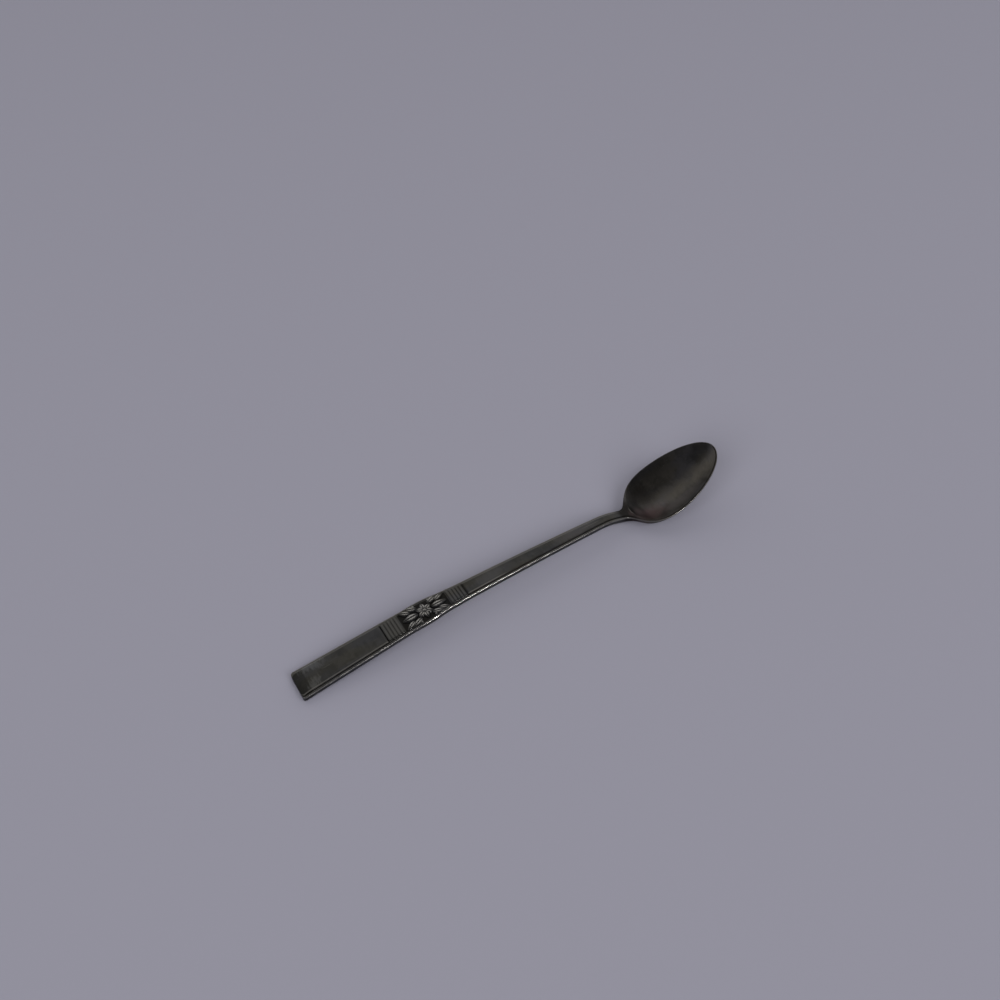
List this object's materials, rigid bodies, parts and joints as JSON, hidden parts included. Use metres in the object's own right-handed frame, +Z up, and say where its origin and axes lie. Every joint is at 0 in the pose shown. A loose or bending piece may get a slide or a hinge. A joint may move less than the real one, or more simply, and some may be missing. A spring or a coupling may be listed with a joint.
{
  "type": "long-handled teaspoon",
  "caption": "Slender long-handled teaspoon with an oval bowl, threaded edges, bands of cross reeding and a leaf ornament on a flared flat handle end, for stirring and sipping tall drinks.",
  "frame": {"origin": "middle of the length and width, on the plane that the spoon rests on", "axes": "+X from the handle end to the tip of the bowl, +Y across the bowl, +Z up out of the bowl"},
  "size_m": [0.19, 0.0264, 0.0208],
  "materials": {
    "silver_plate": "tarnished silver plate, worn bright along the edges"
  },
  "bodies": {
    "root": {"terminal": "silver_plate", "rear_reeding": "silver_plate", "ornament_panel": "silver_plate", "front_reeding": "silver_plate", "stem": "silver_plate", "neck": "silver_plate", "bowl": "silver_plate"}
  },
  "joints": []
}
